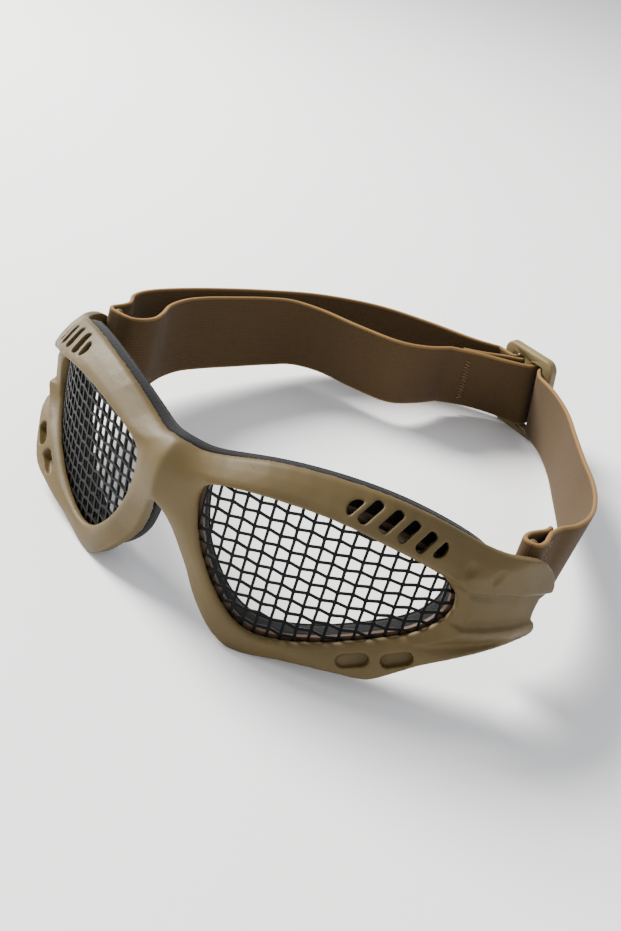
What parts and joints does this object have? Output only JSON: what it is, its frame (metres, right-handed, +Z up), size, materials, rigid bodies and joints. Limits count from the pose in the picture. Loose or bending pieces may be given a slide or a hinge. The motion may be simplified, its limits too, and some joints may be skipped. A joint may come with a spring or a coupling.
{
  "type": "tactical goggles",
  "caption": "Wrap-round tactical goggles with steel wire mesh lenses, a foam face seal and an adjustable elastic head strap.",
  "frame": {"origin": "on the ground, below the middle of the goggles' box", "axes": "+X to the wearer's left, +Y from the lenses towards the back of the head, +Z up from the surface the goggles stand on"},
  "size_m": [0.1659, 0.2032, 0.0541],
  "materials": {
    "frame_tan": "satin moulded",
    "wire_black": "black powder-coated steel wire",
    "retainer_tan": "matte moulded",
    "film_black": "adhesive film",
    "foam_charcoal": "closed-cell foam",
    "cover_black": "brushed knit",
    "webbing_tan": "ribbed elastic webbing",
    "thread_tan": "sewing thread",
    "slider_tan": "satin moulded"
  },
  "bodies": {
    "goggles": {"frame": "frame_tan", "mesh_lens_left": "wire_black", "mesh_lens_right": "wire_black", "lens_retainer_left": "retainer_tan", "lens_retainer_right": "retainer_tan", "foam_film": "film_black", "foam_core": "foam_charcoal", "foam_cover": "cover_black", "strap_left_run": "webbing_tan", "strap_outer_run": "webbing_tan", "strap_inner_run": "webbing_tan"},
    "end_loop": {"strap_end_loop_left": "webbing_tan", "end_loop_tack": "thread_tan"},
    "post_turn": {"strap_post_turn_right": "webbing_tan"},
    "slider": {"slider": "slider_tan", "strap_slider_pass": "webbing_tan", "strap_fixed_end": "webbing_tan", "fixed_end_tack": "thread_tan"}
  },
  "joints": [
    {"name": "end_loop_swing", "type": "hinge", "parent": "goggles", "child": "end_loop", "pos_m": [0.075, -0.03919, 0.02786], "axis": [0, 0.0882, 0.9961], "range_deg": [-5, 18], "deforming": ["strap_left_run"]},
    {"name": "post_turn_swing", "type": "hinge", "parent": "goggles", "child": "post_turn", "pos_m": [-0.0734, -0.03919, 0.02786], "axis": [0, 0.0882, 0.9961], "range_deg": [-8, 8], "deforming": ["strap_outer_run", "strap_inner_run"]},
    {"name": "slider_slip", "type": "slide", "parent": "goggles", "child": "slider", "axis": [0.9511, -0.309, 0], "range_m": [-0.012, 0.012], "deforming": ["strap_left_run", "strap_outer_run", "strap_inner_run"]}
  ]
}
